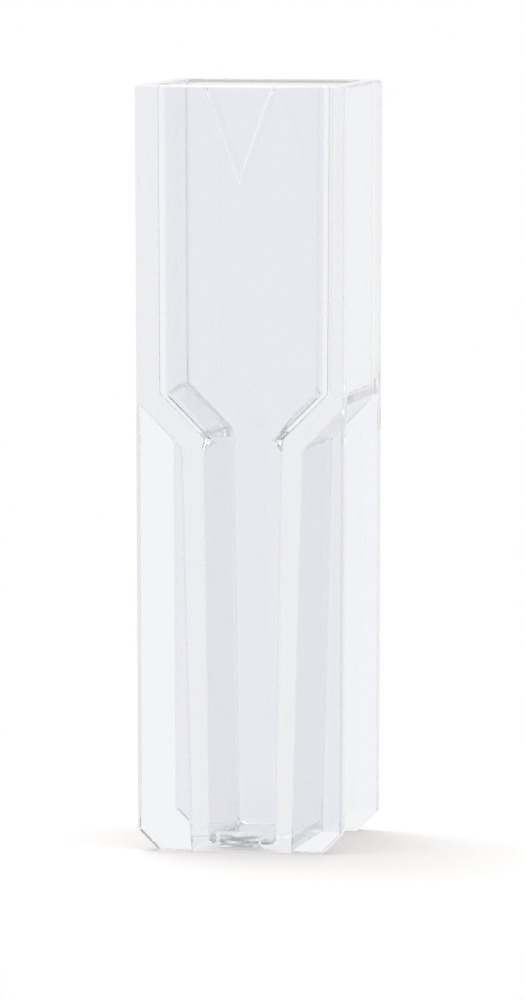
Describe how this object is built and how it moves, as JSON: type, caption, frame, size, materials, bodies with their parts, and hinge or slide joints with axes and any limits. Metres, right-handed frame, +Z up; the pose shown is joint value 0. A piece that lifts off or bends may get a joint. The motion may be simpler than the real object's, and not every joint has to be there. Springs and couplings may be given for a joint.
{
  "type": "cuvette",
  "caption": "Semi-micro photometer cuvette in clear plastic: an open square mouth with a funnel down to a narrow chamber between two tall optical windows, and an open channel on each side.",
  "frame": {"origin": "centre of the foot, on the plane that the cuvette stands on", "axes": "+Z up to the mouth; the light crosses along Y, and the optical face with the raised triangle looks towards -Y; the open side channels look towards +X and -X"},
  "size_m": [0.0126, 0.0127, 0.045],
  "materials": {
    "clear_polystyrene": "clear as glass, with polished optical faces and as-moulded sides"
  },
  "bodies": {
    "root": {"cuvette": "clear_polystyrene"}
  },
  "joints": []
}
